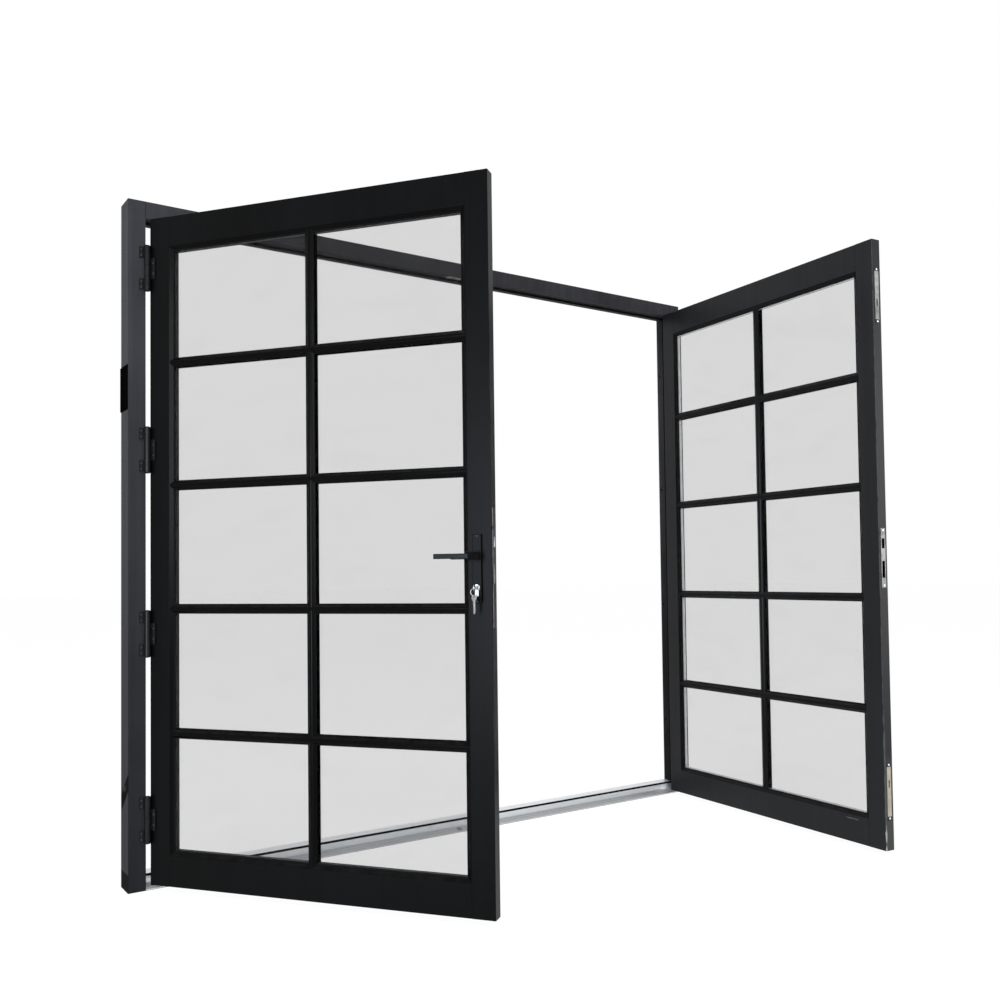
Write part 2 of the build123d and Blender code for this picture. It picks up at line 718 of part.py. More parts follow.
spare_hole = ring_top - ring_radius * 2 + ring_wire_radius + ring_clearance - key_hole_radius
spare_bow = spare_hole - key_hole_reach
with BuildPart() as spare_key:
    block(about(lock_x, key_thickness), about(hole_y, key_blade_height),
          (spare_bow - key_bow_radius - spare_blade_length, spare_bow))
    bore((lock_x, hole_y, spare_bow), (1, 0, 0), key_bow_radius, key_thickness, mode=Mode.ADD)
    bore((lock_x, hole_y, spare_hole), (1, 0, 0), key_hole_radius, key_thickness + cut_overrun)
save(spare_key.part, "spare_key", left_swing)


def handle_bolt(z):
    # A through bolt that clamps both handle plates
    with BuildPart() as bolt:
        bore((lock_x, leaf_middle_y, z), (0, 1, 0), screw_shank_radius,
             leaf_thickness + handle_plate_thickness * 2, mode=Mode.ADD)
        bore((lock_x, leaf_back_y + handle_plate_thickness + screw_head_height / 2, z), (0, 1, 0),
             screw_head_radius, screw_head_height, mode=Mode.ADD)
    return bolt.part.solid()


save(Compound([handle_bolt(z) for z in handle_screw_heights]
              + [screw((left_edge + edge_plate_thickness, leaf_middle_y, z), (1, 0, 0))
                 for z in faceplate_screw_heights]), "left_lock_screws", left_swing)

# Meeting stile of the right leaf: windows for the strike and the flush bolts
right_swing = swing(right)
right_edge = across(right, leaf_width)
plate_x = right_edge - edge_plate_thickness
strike_slots = [(latch_z, latch_height), (deadbolt_z, deadbolt_height)]
strike_screw_heights = about(strike_middle, strike_height - edge_screw_inset * 2)
bolt_plates = ((top_plate_middle, -1), (bottom_plate_middle, 1))
bolt_screw_heights = [z for middle, way in bolt_plates
                      for z in about(middle, bolt_plate_height - edge_screw_inset * 2)]
rod_gap = bolt_rod_width + slide_clearance * 2


def edge_slots(xs):
    # Slots for latch, dead bolt and the two bolt sliders, cut through the edge
    for middle, height in strike_slots:
        block(xs, about(leaf_middle_y, bolt_thickness + window_margin * 2),
              about(middle, height + strike_slot_margin * 2), mode=Mode.SUBTRACT)
    for middle, way in bolt_plates:
        block(xs, about(leaf_middle_y, bolt_slot_width),
              about(middle + way * bolt_slot_offset, bolt_slot_height), mode=Mode.SUBTRACT)


def edge_screw_holes(heights):
    for z in heights:
        bore((right_edge, leaf_middle_y, z), (1, 0, 0), screw_shank_radius + screw_clearance,
             (leaf_wall + cut_overrun / 2) * 2)


with BuildPart() as right_meeting_stile:
    add(stile(right, leaf_width - stile_width))
    edge_slots((right_edge - cut_overrun, right_edge + leaf_wall))
    edge_screw_holes(strike_screw_heights)
    edge_screw_holes(bolt_screw_heights)
    for end in (leaf_bottom, leaf_top):
        block(about(bolt_x, rod_gap), about(leaf_middle_y, rod_gap), about(end, (end_cap + cut_overrun) * 2),
              mode=Mode.SUBTRACT)
save(right_meeting_stile.part, "right_meeting_stile", right_swing)

with BuildPart() as strike_plate:
    block((plate_x, right_edge), about(leaf_middle_y, strike_width), about(strike_middle, strike_height))
    edge_slots((plate_x, right_edge))
    edge_screw_holes(strike_screw_heights)
save(strike_plate.part, "strike_plate", right_swing)


def bolt_plate(middle):
    with BuildPart() as plate:
        block((plate_x, right_edge), about(leaf_middle_y, bolt_plate_width), about(middle, bolt_plate_height))
        edge_slots((plate_x, right_edge))
        edge_screw_holes(bolt_screw_heights)
    return plate.part.solid()


save(Compound([bolt_plate(middle) for middle, way in bolt_plates]), "flush_bolt_plates", right_swing)
save(Compound([screw((plate_x, leaf_middle_y, z), (-1, 0, 0))
               for z in [*strike_screw_heights, *bolt_screw_heights]]), "edge_plate_screws", right_swing)

# Flush bolts: a thumb slider in the plate's slot and the rod that it pushes
slider_height = bolt_slot_height - bolt_travel - slide_clearance * 2
for (middle, way), name, rod_end in zip(bolt_plates, ("top", "bottom"),
                                        (leaf_top - bolt_rod_rest, leaf_bottom + bolt_rod_rest)):
    slot_middle = middle + way * bolt_slot_offset
    slider_z = slot_middle + way * (bolt_slot_height - slider_height - slide_clearance * 2) / 2
    with BuildPart() as bolt_slider:
        block((plate_x + slider_recess, bolt_x - bolt_rod_width / 2),
              about(leaf_middle_y, bolt_slot_width - slide_clearance * 2), about(slider_z, slider_height))
    save(bolt_slider.part, f"{name}_bolt_slider", right_swing)
    with BuildPart() as bolt_rod:
        block(about(bolt_x, bolt_rod_width), about(leaf_middle_y, bolt_rod_width),
              (slider_z + way * (slider_height / 2 + bolt_rod_overlap), rod_end))
        chamfer(bolt_rod.faces().sort_by(Axis.Z)[-1 if way < 0 else 0].edges(), edge_round)
    save(bolt_rod.part, f"{name}_bolt_rod", right_swing)
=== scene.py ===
import math
import bpy
import numpy as np
from mathutils import Matrix, Vector


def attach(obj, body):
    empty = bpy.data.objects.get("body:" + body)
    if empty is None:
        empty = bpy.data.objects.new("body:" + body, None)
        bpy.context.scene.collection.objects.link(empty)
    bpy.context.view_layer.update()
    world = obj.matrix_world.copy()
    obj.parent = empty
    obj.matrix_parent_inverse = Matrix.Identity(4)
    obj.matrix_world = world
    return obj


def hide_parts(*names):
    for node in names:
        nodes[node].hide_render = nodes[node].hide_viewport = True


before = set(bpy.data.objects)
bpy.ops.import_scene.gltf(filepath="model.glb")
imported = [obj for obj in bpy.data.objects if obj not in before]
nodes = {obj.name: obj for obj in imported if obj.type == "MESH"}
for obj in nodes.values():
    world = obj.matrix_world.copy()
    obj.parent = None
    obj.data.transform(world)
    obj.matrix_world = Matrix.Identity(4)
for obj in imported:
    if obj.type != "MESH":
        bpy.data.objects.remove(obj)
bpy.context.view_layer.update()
scene = bpy.context.scene
scene.view_settings.view_transform = "Standard"
print("frame loaded:", len(nodes), "nodes")

# Both leaves are drawn shut, then turned about their hinge pins: x and y of the pin, and the turn
leafHinge = {"left": (-1.1055, -0.052, math.radians(-53.0)), "right": (1.1055, -0.052, math.radians(85.0))}


def swung(points, side):
    # Turns points of a shut leaf about its hinge pin: a plain rotation in the floor plane
    pinX, pinY, turn = leafHinge[side]
    x, y = points[..., 0] - pinX, points[..., 1] - pinY
    c, s = math.cos(turn), math.sin(turn)
    return np.stack([pinX + c * x - s * y, pinY + s * x + c * y, points[..., 2]], axis=-1)


def gridFaces(rows, columns, closeRows=False, closeColumns=False, start=0):
    # Quads of a rows by columns grid of points, joined round where a direction is closed
    r = np.arange(rows if closeRows else rows - 1)
    c = np.arange(columns if closeColumns else columns - 1)
    a, b = np.meshgrid(r, c, indexing="ij")
    a2, b2 = (a + 1) % rows, (b + 1) % columns
    quads = np.stack([a * columns + b, a2 * columns + b, a2 * columns + b2, a * columns + b2], axis=-1)
    return (quads.reshape(-1, 4) + start).tolist()


def addPiece(name, points, faces, body, material, sharpAngle=38.0):
    mesh = bpy.data.meshes.new(name)
    mesh.from_pydata(np.asarray(points, float).reshape(-1, 3).tolist(), [], faces)
    mesh.validate()
    mesh.shade_smooth()
    mesh.set_sharp_from_angle(angle=math.radians(sharpAngle))
    piece = bpy.data.objects.new(name, mesh)
    scene.collection.objects.link(piece)
    mesh.materials.append(material)
    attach(piece, body)
    return piece


def link(tree, source, target):
    tree.links.new(source, target)


def feed(tree, target, value):
    # A socket is linked, anything else is a fixed value
    if isinstance(value, bpy.types.NodeSocket):
        link(tree, value, target)
    else:
        target.default_value = value


def addNode(tree, kind, **values):
    # A node with its inputs set by name; a name that is no input is a setting of the node
    node = tree.nodes.new(kind)
    for key, value in values.items():
        if key in node.inputs:
            feed(tree, node.inputs[key], value)
        else:
            setattr(node, key, value)
    return node


def mathNode(tree, operation, a, b=0.0):
    node = tree.nodes.new("ShaderNodeMath")
    node.operation = operation
    for socket, value in zip(node.inputs, (a, b)):
        feed(tree, socket, value)
    return node.outputs[0]


def mixColour(tree, factor, a, b):
    node = tree.nodes.new("ShaderNodeMix")
    node.data_type = "RGBA"
    link(tree, factor, node.inputs[0])
    for socket, value in zip(node.inputs[6:8], (a, b)):  # the two colour sockets
        feed(tree, socket, (*value, 1.0) if isinstance(value, tuple) else value)
    return node.outputs[2]


def rampValue(tree, value, low, high, toLow=0.0, toHigh=1.0):
    # A smooth step: toLow at low, toHigh at high
    node = tree.nodes.new("ShaderNodeMapRange")
    node.interpolation_type = "SMOOTHSTEP"
    link(tree, value, node.inputs[0])
    for socket, number in zip(node.inputs[1:5], (low, high, toLow, toHigh)):
        socket.default_value = number
    return node.outputs[0]


def newGroup(name, inputs, outputs):
    group = bpy.data.node_groups.new(name, "ShaderNodeTree")
    for label, kind, value in inputs:
        socket = group.interface.new_socket(label, in_out="INPUT", socket_type=kind)
        if value is not None:
            socket.default_value = value
    for label, kind in outputs:
        group.interface.new_socket(label, in_out="OUTPUT", socket_type=kind)
    return group, group.nodes.new("NodeGroupInput").outputs, group.nodes.new("NodeGroupOutput").inputs


def stretched(tree, vector, scale):
    node = addNode(tree, "ShaderNodeVectorMath", operation="MULTIPLY")
    for socket, value in zip(node.inputs, (vector, scale)):
        feed(tree, socket, value)
    return node.outputs[0]


def axesOf(tree, vector):
    return addNode(tree, "ShaderNodeSeparateXYZ", Vector=vector).outputs


def apart(tree, value, middle):
    # How far a value is from a middle
    return mathNode(tree, "ABSOLUTE", mathNode(tree, "SUBTRACT", value, middle))


def noise(tree, vector, scale, detail=3.0, roughness=0.55):
    node = addNode(tree, "ShaderNodeTexNoise", Vector=vector, Scale=scale, Detail=detail, Roughness=roughness)
    return node.outputs["Fac"]


coatGrain = {"streak": (38.0, 38.0, 1.1), "streakSpan": (0.35, 0.7)}
dustGrain = {"cloud": 35.0, "cloudSpan": (0.3, 0.75), "facingSpan": (0.3, 0.95)}
brushGrain = {"tone": (0.35, 9.0, 9.0), "toneScale": 4.0, "stainSpan": (0.56, 0.72)}


def buildCoatGroup():
    # Powder coat: broad mottling, drawn streaks along the profile and a fine pebbled skin
    group, given, out = newGroup("powderCoatSkin", [
        ("Vector", "NodeSocketVector", None), ("Pebble", "NodeSocketFloat", 750.0),
        ("Broad", "NodeSocketFloat", 2.3)],
        [("Mottle", "NodeSocketFloat"), ("Streak", "NodeSocketFloat"), ("Height", "NodeSocketFloat")])
    mottle = noise(group, given["Vector"], given["Broad"], detail=4.0)
    streak = noise(group, stretched(group, given["Vector"], coatGrain["streak"]), scale=1.0)
    pebble = noise(group, given["Vector"], given["Pebble"], detail=2.0, roughness=0.5)
    link(group, mottle, out["Mottle"])
    link(group, rampValue(group, streak, *coatGrain["streakSpan"]), out["Streak"])
    link(group, pebble, out["Height"])
    return group


def buildDustGroup():
    # Dust: faces that look up gather it, broken by a cloudy noise
    group, given, out = newGroup("settledDust", [
        ("Vector", "NodeSocketVector", None), ("Normal", "NodeSocketVector", None),
        ("Amount", "NodeSocketFloat", 0.5)], [("Mask", "NodeSocketFloat")])
    up = axesOf(group, given["Normal"])["Z"]
    cloud = noise(group, given["Vector"], dustGrain["cloud"], detail=4.0)
    facing = rampValue(group, up, *dustGrain["facingSpan"])
    mask = mathNode(group, "MULTIPLY", facing, rampValue(group, cloud, *dustGrain["cloudSpan"]))
    link(group, mathNode(group, "MULTIPLY", mask, given["Amount"]), out["Mask"])
    return group


def buildBrushGroup():
    # Drawn metal: hairlines along the axis that Hairline scales least, a slow change of tone and dull spots
    group, given, out = newGroup("drawnMetal", [
        ("Vector", "NodeSocketVector", None), ("Hairline", "NodeSocketVector", (3.0, 900.0, 900.0)),
        ("Spot", "NodeSocketFloat", 60.0)],
        [("Line", "NodeSocketFloat"), ("Tone", "NodeSocketFloat"), ("Stain", "NodeSocketFloat")])
    lines = stretched(group, given["Vector"], given["Hairline"])
    link(group, noise(group, lines, scale=1.0, detail=2.0), out["Line"])
    slow = stretched(group, given["Vector"], brushGrain["tone"])
    link(group, noise(group, slow, brushGrain["toneScale"]), out["Tone"])
    spots = noise(group, given["Vector"], given["Spot"], detail=4.0)
    link(group, rampValue(group, spots, *brushGrain["stainSpan"]), out["Stain"])
    return group


coatGroup, dustGroup, brushGroup = buildCoatGroup(), buildDustGroup(), buildBrushGroup()


def useGroup(tree, group, **values):
    node = tree.nodes.new("ShaderNodeGroup")
    node.node_tree = group
    for key, value in values.items():
        feed(tree, node.inputs[key], value)
    return node.outputs


def newMaterial(name):
    material = bpy.data.materials.new(name)
    material.use_nodes = True
    return material, material.node_tree, material.node_tree.nodes["Principled BSDF"]


def pieceCoords(tree, side=None):
    # Object coordinates, turned back to the shut leaf and counted from its hinge pin
    coords = tree.nodes.new("ShaderNodeTexCoord").outputs["Object"]
    if side is None:
        return coords
    pinX, pinY, turn = leafHinge[side]
    turned = addNode(tree, "ShaderNodeMapping", vector_type="TEXTURE", Vector=coords,
                     Location=(pinX, pinY, 0.0), Rotation=(0.0, 0.0, turn))
    return turned.outputs[0]


def addBump(tree, shader, height, strength, distance):
    bump = addNode(tree, "ShaderNodeBump", Height=height, Strength=strength, Distance=distance)
    link(tree, bump.outputs[0], shader.inputs["Normal"])


print("shader groups ready")


def nearLine(tree, axes, x0, y0, reach):
    # How near a point is to an upright line at x0, y0: 1 on the line, 0 at the reach
    dx = mathNode(tree, "SUBTRACT", axes["X"], x0)
    dy = mathNode(tree, "SUBTRACT", axes["Y"], y0)
    squares = mathNode(tree, "ADD", mathNode(tree, "MULTIPLY", dx, dx), mathNode(tree, "MULTIPLY", dy, dy))
    return rampValue(tree, mathNode(tree, "SQRT", squares), reach, 0.0)


def band(tree, value, low, high, soft):
    # 1 between low and high, with soft sides outside them
    rise = rampValue(tree, value, low - soft, low)
    return mathNode(tree, "MULTIPLY", rise, rampValue(tree, value, high, high + soft, toLow=1.0, toHigh=0.0))


# One black powder coat in lit and shaded copies, which is painted light: the frame and right-leaf entries are lighter
# lit copies, the left-leaf and its trim entries a darker shaded copy
coatLooks = {
    "frame": {"deep": (0.034, 0.034, 0.038), "pale": (0.058, 0.058, 0.065), "rough": 0.48, "specular": 0.02},
    "left": {"deep": (0.0014, 0.0015, 0.0016), "pale": (0.0030, 0.0032, 0.0037), "rough": 0.32, "specular": 0.07},
    "right": {"deep": (0.006, 0.0063, 0.0075), "pale": (0.012, 0.0125, 0.0145), "rough": 0.36, "specular": 0.16},
    "leftTrimShaded": {"deep": (0.0010, 0.0010, 0.0011), "pale": (0.0022, 0.0023, 0.0026), "rough": 0.22, "specular": 0.05},
    "rightTrimLit": {"deep": (0.003, 0.0031, 0.0036), "pale": (0.007, 0.0073, 0.0084), "rough": 0.23, "specular": 0.06},
    "dust": (0.21, 0.20, 0.185), "dustAmount": 0.06, "pebbleDepth": 0.00012, "bumpStrength": 0.16,
    "mottleShare": 0.86, "streakShare": 0.14, "toneSpan": (0.2, 0.8), "roughDrop": 0.06, "roughSpread": 0.14,
}


def coatMaterial(name, look, side=None, marks=None):
    material, tree, shader = newMaterial(name)
    coords = pieceCoords(tree, side)
    skin = useGroup(tree, coatGroup, Vector=coords)
    normal = tree.nodes.new("ShaderNodeTexCoord").outputs["Normal"]
    dust = useGroup(tree, dustGroup, Vector=coords, Normal=normal, Amount=coatLooks["dustAmount"])
    tone = mathNode(tree, "ADD", mathNode(tree, "MULTIPLY", skin["Mottle"], coatLooks["mottleShare"]),
                    mathNode(tree, "MULTIPLY", skin["Streak"], coatLooks["streakShare"]))
    colour = mixColour(tree, rampValue(tree, tone, *coatLooks["toneSpan"]), look["deep"], look["pale"])
    colour = mixColour(tree, dust["Mask"], colour, coatLooks["dust"])
    rough = mathNode(tree, "ADD", look["rough"] - coatLooks["roughDrop"],
                     mathNode(tree, "MULTIPLY", skin["Mottle"], coatLooks["roughSpread"]))
    if marks:
        colour, rough = marks(tree, coords, colour, rough)
    link(tree, colour, shader.inputs["Base Color"])
    link(tree, rough, shader.inputs["Roughness"])
    shader.inputs["Specular IOR Level"].default_value = look["specular"]
    addBump(tree, shader, skin["Height"], coatLooks["bumpStrength"], coatLooks["pebbleDepth"])
    return material


edgeChips = {"bare": (0.36, 0.355, 0.34), "worn": (0.060, 0.066, 0.066), "reach": 0.0065, "wornReach": 0.0030,
             "low": 0.01, "high": 0.085, "grain": 62.0, "olive": (0.055, 0.054, 0.048), "oliveTop": 0.31,
             "rub": (0.075, 0.088, 0.080), "rubLow": 0.08, "rubHigh": 0.42, "stretch": (1.0, 1.0, 0.45),
             "arris": (-1.1025, 0.048), "chipLine": (-1.1025, 0.0455), "edgeFace": (-1.1000, -1.1018),
             "wornSpan": (0.36, 0.56), "filmWave": 0.05, "filmFade": 0.045, "filmShare": 0.9,
             "grainShare": 0.75, "edgeShare": 0.30, "nearSpan": (0.02, 0.2), "rubFade": 0.05,
             "rubSpan": (0.52, 0.62), "rubShare": 0.8, "chipFade": 0.02, "chipSpan": (0.53, 0.58)}


def chipMarks(tree, coords, colour, rough):
    # Right leaf's free edge: a rubbed line along the inner arris, an olive film on its foot and bare
    # patches low down where trolleys meet it
    axes = axesOf(tree, coords)
    drawn = stretched(tree, coords, edgeChips["stretch"])
    grain = noise(tree, drawn, edgeChips["grain"], detail=5.0, roughness=0.62)
    rubbed = nearLine(tree, axes, *edgeChips["arris"], edgeChips["wornReach"])
    rubbed = mathNode(tree, "MULTIPLY", rubbed, rampValue(tree, grain, *edgeChips["wornSpan"]))
    height = mathNode(tree, "ADD", axes["Z"], mathNode(tree, "MULTIPLY", grain, edgeChips["filmWave"]))
    film = rampValue(tree, height, edgeChips["oliveTop"] + edgeChips["filmFade"], edgeChips["oliveTop"])
    film = mathNode(tree, "MULTIPLY", film, rampValue(tree, axes["X"], *edgeChips["edgeFace"]))
    colour = mixColour(tree, mathNode(tree, "MULTIPLY", film, edgeChips["filmShare"]), colour, edgeChips["olive"])
    colour = mixColour(tree, rubbed, colour, edgeChips["worn"])
    edge = nearLine(tree, axes, *edgeChips["chipLine"], edgeChips["reach"])
    level = mathNode(tree, "ADD", mathNode(tree, "MULTIPLY", grain, edgeChips["grainShare"]),
                     mathNode(tree, "MULTIPLY", edge, edgeChips["edgeShare"]))
    near = rampValue(tree, edge, *edgeChips["nearSpan"])
    rubZone = band(tree, axes["Z"], edgeChips["rubLow"], edgeChips["rubHigh"], edgeChips["rubFade"])
    rub = mathNode(tree, "MULTIPLY", rubZone, near)
    rub = mathNode(tree, "MULTIPLY", rub, rampValue(tree, level, *edgeChips["rubSpan"]))
    colour = mixColour(tree, mathNode(tree, "MULTIPLY", rub, edgeChips["rubShare"]), colour, edgeChips["rub"])
    chipZone = band(tree, axes["Z"], edgeChips["low"], edgeChips["high"], edgeChips["chipFade"])
    heavy = mathNode(tree, "MULTIPLY", chipZone, near)
    mask = mathNode(tree, "MULTIPLY", heavy, rampValue(tree, level, *edgeChips["chipSpan"]))
    return mixColour(tree, mask, colour, edgeChips["bare"]), rough


railScratch = {"along": (-0.993, -0.940), "alongFade": 0.002, "up": (0.0948, 0.0966), "upFade": 0.0006,
               "stretch": (120.0, 120.0, 700.0), "dashSpan": (0.48, 0.56), "share": 0.6}


def scratchMarks(tree, coords, colour, rough):
    # A short row of light scratches on the room face of the right leaf's lower rail
    axes = axesOf(tree, coords)
    place = mathNode(tree, "MULTIPLY", band(tree, axes["X"], *railScratch["along"], railScratch["alongFade"]),
                     band(tree, axes["Z"], *railScratch["up"], railScratch["upFade"]))
    streaks = noise(tree, stretched(tree, coords, railScratch["stretch"]), scale=1.0, detail=2.0)
    mask = mathNode(tree, "MULTIPLY", place, rampValue(tree, streaks, *railScratch["dashSpan"]))
    return mixColour(tree, mathNode(tree, "MULTIPLY", mask, railScratch["share"]), colour, edgeChips["bare"]), rough


wornPlate = {"deep": (0.010, 0.010, 0.011), "pale": (0.022, 0.022, 0.023), "rough": 0.38, "specular": 0.2,
             "bare": (0.30, 0.275, 0.27), "grain": 70.0, "stretch": (1.0, 1.0, 0.3), "grainSpan": (0.38, 0.55),
             "arris": 0.0182, "lineSpan": (0.0022, 0.0004)}


def faceplateMarks(tree, coords, colour, rough):
    # Lock faceplate: coated dark, rubbed bare along the arris next to the outer face
    axes = axesOf(tree, coords)
    line = rampValue(tree, apart(tree, axes["Y"], wornPlate["arris"]), *wornPlate["lineSpan"])
    drawn = stretched(tree, coords, wornPlate["stretch"])
    grain = noise(tree, drawn, wornPlate["grain"], detail=4.0, roughness=0.6)
    mask = mathNode(tree, "MULTIPLY", line, rampValue(tree, grain, *wornPlate["grainSpan"]))
    return mixColour(tree, mask, colour, wornPlate["bare"]), rough


frameSeam = {"tone": (0.004, 0.004, 0.004), "joint": 1.108, "half": 0.0009, "core": 0.4, "headLow": 2.048,
             "headFade": 0.001, "footShade": 0.62, "shadeSpan": (1.9, 0.1)}


def seamMarks(tree, coords, colour, rough):
    # A dark hairline where the head meets the jambs, and painted shade that darkens the coat towards the floor
    axes = axesOf(tree, coords)
    away = apart(tree, mathNode(tree, "ABSOLUTE", axes["X"]), frameSeam["joint"])
    line = rampValue(tree, away, frameSeam["half"], frameSeam["half"] * frameSeam["core"])
    atHead = rampValue(tree, axes["Z"], frameSeam["headLow"] - frameSeam["headFade"], frameSeam["headLow"])
    line = mathNode(tree, "MULTIPLY", line, atHead)
    # painted shade: the coat darker towards the floor
    shade = rampValue(tree, axes["Z"], *frameSeam["shadeSpan"], toHigh=frameSeam["footShade"])
    colour = mixColour(tree, shade, colour, frameSeam["tone"])
    return mixColour(tree, line, colour, frameSeam["tone"]), rough


jambSmudge = {"tone": (0.004, 0.004, 0.004), "outerFace": (-1.158, -1.1598), "grain": 16.0, "patchSpan": (0.25, 0.55),
              "slant": 0.9, "low": 0.272, "high": 0.308, "fade": 0.02, "dirtTop": 0.052, "dirtFade": 0.006,
              "dirtShare": 0.85, "rough": 0.95}


def smudgeMarks(tree, coords, colour, rough):
    # Low on the outer side of the left jamb: a slanting dark rub, where z plus a share of y stays the same,
    # and floor dirt at the foot
    colour, rough = seamMarks(tree, coords, colour, rough)
    axes = axesOf(tree, coords)
    outer = rampValue(tree, axes["X"], *jambSmudge["outerFace"])
    patch = noise(tree, coords, jambSmudge["grain"], detail=2.0)
    slant = mathNode(tree, "ADD", axes["Z"], mathNode(tree, "MULTIPLY", axes["Y"], jambSmudge["slant"]))
    streak = band(tree, slant, jambSmudge["low"], jambSmudge["high"], jambSmudge["fade"])
    streak = mathNode(tree, "MULTIPLY", streak, rampValue(tree, patch, *jambSmudge["patchSpan"]))
    dirt = rampValue(tree, axes["Z"], jambSmudge["dirtTop"] + jambSmudge["dirtFade"], jambSmudge["dirtTop"],
                     toHigh=jambSmudge["dirtShare"])
    mask = mathNode(tree, "MULTIPLY", mathNode(tree, "MAXIMUM", streak, dirt), outer)
    rough = mathNode(tree, "MAXIMUM", rough, mathNode(tree, "MULTIPLY", mask, jambSmudge["rough"]))
    return mixColour(tree, mask, colour, jambSmudge["tone"]), rough


# The frame and right-leaf coats are painted lit copies of the one black coat, the left-leaf coats a painted shaded
# copy
faceplateCoat = coatMaterial("faceplateCoat", wornPlate, "left", faceplateMarks)
rightRailCoatLit = coatMaterial("rightRailCoatLit", coatLooks["right"], "right", scratchMarks)
frameCoatLit = coatMaterial("frameCoatLit", coatLooks["frame"], marks=seamMarks)
leftJambCoatLit = coatMaterial("leftJambCoatLit", coatLooks["frame"], marks=smudgeMarks)
leftCoatShaded = coatMaterial("leftLeafCoatShaded", coatLooks["left"], "left")
rightCoatLit = coatMaterial("rightLeafCoatLit", coatLooks["right"], "right")
leftTrimCoatShaded = coatMaterial("leftTrimCoatShaded", coatLooks["leftTrimShaded"], "left")
rightTrimCoatLit = coatMaterial("rightTrimCoatLit", coatLooks["rightTrimLit"], "right")
rightEdgeCoatLit = coatMaterial("rightEdgeCoatLit", coatLooks["right"], "right", chipMarks)

metalLooks = {
    "threshold": {"dark": (0.68, 0.71, 0.74), "pale": (0.90, 0.92, 0.94), "stain": (0.52, 0.53, 0.53),
                  "rough": 0.38, "metal": 0.7, "hairline": (3.0, 700.0, 700.0)},
    "plate": {"dark": (0.12, 0.12, 0.12), "pale": (0.44, 0.44, 0.43), "stain": (0.11, 0.105, 0.10),
              "rough": 0.50, "metal": 0.35, "hairline": (500.0, 500.0, 40.0)},
    # Painted shade: the sliders are near black so the bolt slots they sit in read dark
    "slider": {"dark": (0.003, 0.003, 0.003), "pale": (0.008, 0.008, 0.008), "stain": (0.003, 0.003, 0.003),
               "rough": 0.60, "metal": 0.0, "hairline": (300.0, 300.0, 300.0), "specular": 0.03},
    "key": {"dark": (0.30, 0.30, 0.295), "pale": (0.52, 0.52, 0.51), "stain": (0.22, 0.215, 0.21),
            "rough": 0.28, "metal": 1.0, "hairline": (400.0, 400.0, 400.0)},
    "screw": {"dark": (0.62, 0.62, 0.62), "pale": (0.86, 0.86, 0.85), "stain": (0.50, 0.49, 0.47),
              "rough": 0.22, "metal": 1.0, "hairline": (400.0, 400.0, 400.0)},
    "hingeScrew": {"dark": (0.012, 0.012, 0.012), "pale": (0.035, 0.035, 0.035), "stain": (0.01, 0.01, 0.01),
                   "rough": 0.40, "metal": 0.6, "hairline": (400.0, 400.0, 400.0)},
    "spacer": {"dark": (0.66, 0.67, 0.67), "pale": (0.86, 0.86, 0.86), "stain": (0.58, 0.58, 0.57),
               "rough": 0.42, "metal": 0.6, "hairline": (90.0, 90.0, 90.0)},
    # The left leaf's spacer: a painted-shade copy of the silver spacer
    "shadedSpacer": {"dark": (0.010, 0.010, 0.010), "pale": (0.022, 0.022, 0.022), "stain": (0.008, 0.008, 0.008),
                   "rough": 0.55, "metal": 0.2, "hairline": (90.0, 90.0, 90.0)},
}

metalSkin = {"lineShare": 0.5, "toneShare": 0.5, "toneSpan": (0.3, 0.7), "stainShare": 0.35, "roughDrop": 0.05,
             "roughLine": 0.12, "roughStain": 0.12, "specular": 0.5, "bump": 0.10, "lineDepth": 0.00008}


def metalMaterial(name, look, marks=None):
    material, tree, shader = newMaterial(name)
    coords = pieceCoords(tree)
    drawn = useGroup(tree, brushGroup, Vector=coords, Hairline=look["hairline"])
    tone = mathNode(tree, "ADD", mathNode(tree, "MULTIPLY", drawn["Line"], metalSkin["lineShare"]),
                    mathNode(tree, "MULTIPLY", drawn["Tone"], metalSkin["toneShare"]))
    colour = mixColour(tree, rampValue(tree, tone, *metalSkin["toneSpan"]), look["dark"], look["pale"])
    stain = mathNode(tree, "MULTIPLY", drawn["Stain"], metalSkin["stainShare"])
    colour = mixColour(tree, stain, colour, look["stain"])
    if marks:
        colour = marks(tree, coords, colour)
    link(tree, colour, shader.inputs["Base Color"])
    rough = mathNode(tree, "ADD", look["rough"] - metalSkin["roughDrop"],
                     mathNode(tree, "MULTIPLY", drawn["Line"], metalSkin["roughLine"]))
    rough = mathNode(tree, "ADD", rough, mathNode(tree, "MULTIPLY", drawn["Stain"], metalSkin["roughStain"]))
    link(tree, rough, shader.inputs["Roughness"])
    shader.inputs["Metallic"].default_value = look["metal"]
    shader.inputs["Specular IOR Level"].default_value = look.get("specular", metalSkin["specular"])
    addBump(tree, shader, drawn["Line"], metalSkin["bump"], metalSkin["lineDepth"])
    return material


sillWear = {"nose": (0.05, 0.05, 0.05), "noseHeight": 0.0032, "tread": (0.58, 0.59, 0.60), "treadTop": 0.0125,
            "treadFade": 0.0006, "treadShadeShare": 0.45, "groove": (0.22, 0.225, 0.23), "grooveStep": 0.013,
            "grooveStart": 0.0365, "grooveSpan": (0.80, 0.95), "grooveShare": 0.7, "gapShadowSpan": (0.0022, 0.0010),
            "gapShadowShare": 0.8}


